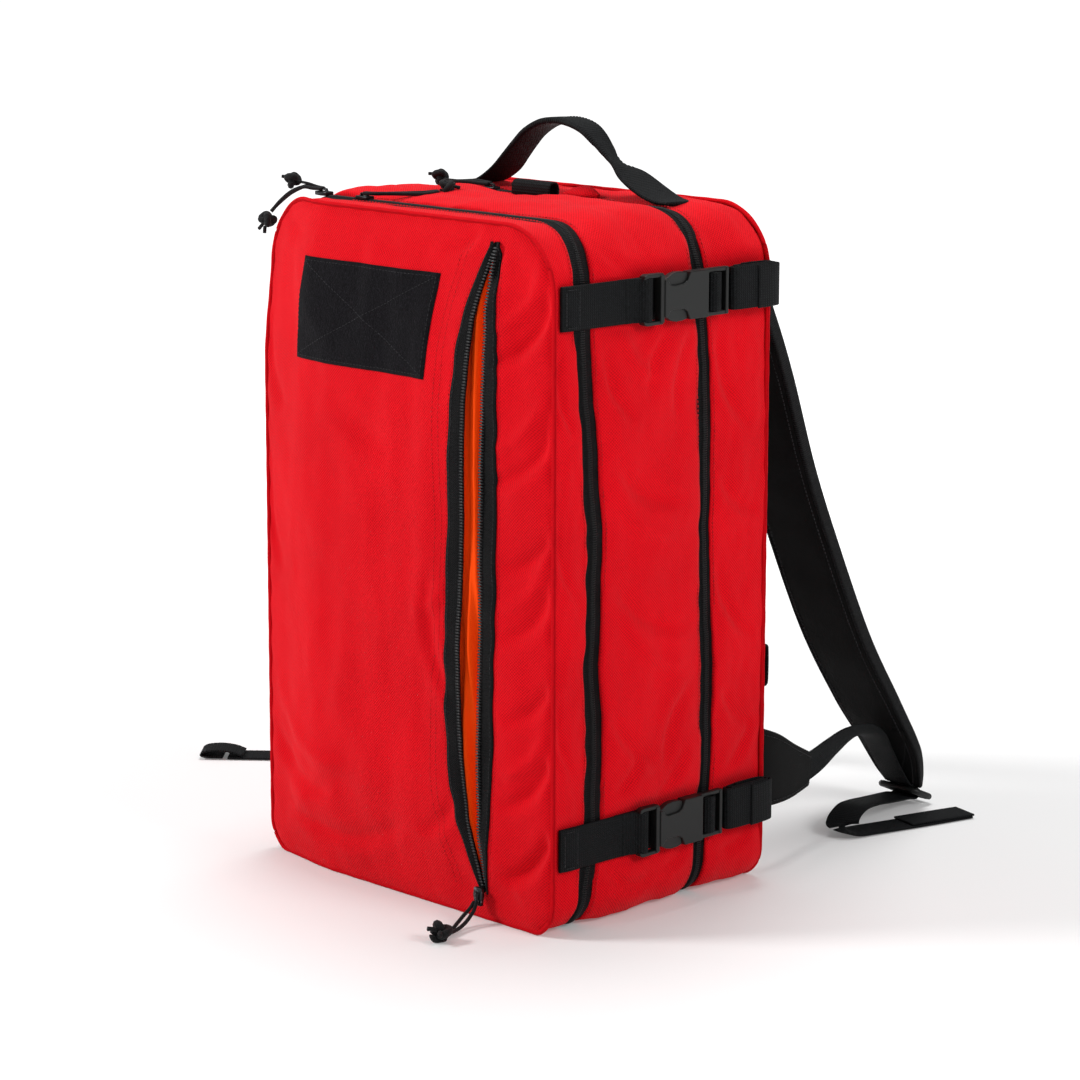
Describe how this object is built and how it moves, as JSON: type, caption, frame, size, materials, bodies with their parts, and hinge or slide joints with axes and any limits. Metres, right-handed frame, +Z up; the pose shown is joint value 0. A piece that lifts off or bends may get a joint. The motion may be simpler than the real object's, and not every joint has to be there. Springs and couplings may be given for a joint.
{
  "type": "trauma backpack",
  "caption": "Upright red clamshell backpack for first-aid gear, with zipped sections, an open front pocket, a carry handle, side buckles and shoulder straps.",
  "frame": {"origin": "centre of the bag's base, on the surface that it stands on", "axes": "+Z up, -Y out of the front panel, +X to the bag's own side with the buckles (the right of a person facing its front)"},
  "size_m": [0.5549, 0.5124, 0.5348],
  "materials": {
    "red_fabric": "matte coated nylon weave",
    "orange_lining": "smooth lining",
    "black_webbing": "ribbed webbing",
    "strap_fabric": "matte padded fabric",
    "zip_tape": "matte coil tape",
    "slider_metal": "gloss black",
    "black_plastic": "satin",
    "loop_fabric": "looped pile",
    "pull_cord": "braided",
    "back_mesh": "spacer mesh",
    "frame_sheet": "matte"
  },
  "bodies": {
    "back_section": {"back_shell": "red_fabric", "frame_sheet": "frame_sheet", "back_pad": "back_mesh", "rear_zip_tape_inner": "zip_tape", "handle_leg_left": "black_webbing", "handle_leg_right": "black_webbing", "strap_wing_right": "strap_fabric", "strap_webbing_right": "black_webbing", "side_tab_right": "black_webbing", "strap_wing_left": "strap_fabric", "strap_webbing_left": "black_webbing", "side_tab_left": "black_webbing", "upper_rear_web": "black_webbing", "upper_buckle_female": "black_plastic", "upper_keeper": "black_webbing", "lower_rear_web": "black_webbing", "lower_buckle_female": "black_plastic", "lower_keeper": "black_webbing"},
    "middle_section": {"middle_shell": "red_fabric", "front_zip_tape_inner": "zip_tape", "rear_zip_tape_outer": "zip_tape", "top_tab": "black_webbing"},
    "front_section": {"front_shell": "red_fabric", "front_zip_tape_outer": "zip_tape", "pocket_lining": "orange_lining", "pocket_tape_left": "zip_tape", "pocket_tape_right": "zip_tape", "loop_patch": "loop_fabric", "upper_front_web": "black_webbing", "lower_front_web": "black_webbing"},
    "front_slider_a": {"front_zip_slider_a": "slider_metal", "front_pull_cord_a": "pull_cord", "front_pull_knot_a": "pull_cord", "front_pull_bead_a": "pull_cord"},
    "front_slider_b": {"front_zip_slider_b": "slider_metal", "front_pull_cord_b": "pull_cord", "front_pull_knot_b": "pull_cord"},
    "rear_slider": {"rear_zip_slider": "slider_metal", "rear_pull_cord": "pull_cord", "rear_pull_knot": "pull_cord"},
    "pocket_zip_slider": {"pocket_slider": "slider_metal", "pocket_pull_cord": "pull_cord", "pocket_pull_knot": "pull_cord"},
    "carry_handle": {"handle_grip": "black_webbing"},
    "right_strap": {"shoulder_strap_right": "strap_fabric"},
    "left_strap": {"shoulder_strap_left": "strap_fabric"},
    "right_lock": {"ladder_lock_right": "black_plastic"},
    "left_lock": {"ladder_lock_left": "black_plastic"},
    "upper_male": {"upper_buckle_male": "black_plastic"},
    "upper_prong_a": {"upper_prong_top": "black_plastic"},
    "upper_prong_b": {"upper_prong_bottom": "black_plastic"},
    "lower_male": {"lower_buckle_male": "black_plastic"},
    "lower_prong_a": {"lower_prong_top": "black_plastic"},
    "lower_prong_b": {"lower_prong_bottom": "black_plastic"}
  },
  "joints": [
    {"name": "middle_opening", "type": "hinge", "parent": "back_section", "child": "middle_section", "pos_m": [-0.15, 0.042, 0], "axis": [0, 0, -1], "range_deg": [0, 60]},
    {"name": "front_opening", "type": "hinge", "parent": "middle_section", "child": "front_section", "pos_m": [-0.15, -0.067, 0], "axis": [0, 0, -1], "range_deg": [0, 110]},
    {"name": "front_slider_a_travel", "type": "slide", "parent": "front_section", "child": "front_slider_a", "axis": [1, 0, 0], "range_m": [-0.01, 0.008]},
    {"name": "front_slider_b_travel", "type": "slide", "parent": "middle_section", "child": "front_slider_b", "axis": [1, 0, 0], "range_m": [0, 0.17]},
    {"name": "rear_slider_travel", "type": "slide", "parent": "back_section", "child": "rear_slider", "axis": [1, 0, 0], "range_m": [0, 0.16]},
    {"name": "pocket_slider_travel", "type": "slide", "parent": "front_section", "child": "pocket_zip_slider", "axis": [0, 0, 1], "range_m": [0, 0.43]},
    {"name": "handle_fold", "type": "hinge", "parent": "back_section", "child": "carry_handle", "pos_m": [0, 0.062, 0.505], "axis": [1, 0, 0], "range_deg": [-60, 60]},
    {"name": "right_strap_swing", "type": "hinge", "parent": "back_section", "child": "right_strap", "pos_m": [0.072, 0.108, 0.456], "axis": [1, 0, 0], "range_deg": [0, 20]},
    {"name": "right_lock_tilt", "type": "hinge", "parent": "right_strap", "child": "right_lock", "pos_m": [0.094, 0.322, 0.024], "axis": [1, 0, 0], "range_deg": [0, 35]},
    {"name": "left_strap_swing", "type": "hinge", "parent": "back_section", "child": "left_strap", "pos_m": [-0.072, 0.108, 0.456], "axis": [1, 0, 0], "range_deg": [0, 20]},
    {"name": "left_lock_tilt", "type": "hinge", "parent": "left_strap", "child": "left_lock", "pos_m": [-0.094, 0.322, 0.024], "axis": [1, 0, 0], "range_deg": [0, 35]},
    {"name": "upper_buckle_release", "type": "slide", "parent": "front_section", "child": "upper_male", "axis": [0, -1, 0], "range_m": [0, 0.025]},
    {"name": "upper_prong_top_press", "type": "slide", "parent": "upper_male", "child": "upper_prong_a", "axis": [0, 0, -1], "range_m": [0, 0.0025], "stiffness_N_per_m": 400},
    {"name": "upper_prong_bottom_press", "type": "slide", "parent": "upper_male", "child": "upper_prong_b", "axis": [0, 0, 1], "range_m": [0, 0.0025], "stiffness_N_per_m": 400},
    {"name": "lower_buckle_release", "type": "slide", "parent": "front_section", "child": "lower_male", "axis": [0, -1, 0], "range_m": [0, 0.025]},
    {"name": "lower_prong_top_press", "type": "slide", "parent": "lower_male", "child": "lower_prong_a", "axis": [0, 0, -1], "range_m": [0, 0.0025], "stiffness_N_per_m": 400},
    {"name": "lower_prong_bottom_press", "type": "slide", "parent": "lower_male", "child": "lower_prong_b", "axis": [0, 0, 1], "range_m": [0, 0.0025], "stiffness_N_per_m": 400}
  ],
  "couplings": [
    {"joint": "upper_prong_bottom_press", "follows": "upper_prong_top_press", "ratio": 1},
    {"joint": "lower_prong_bottom_press", "follows": "lower_prong_top_press", "ratio": 1}
  ]
}
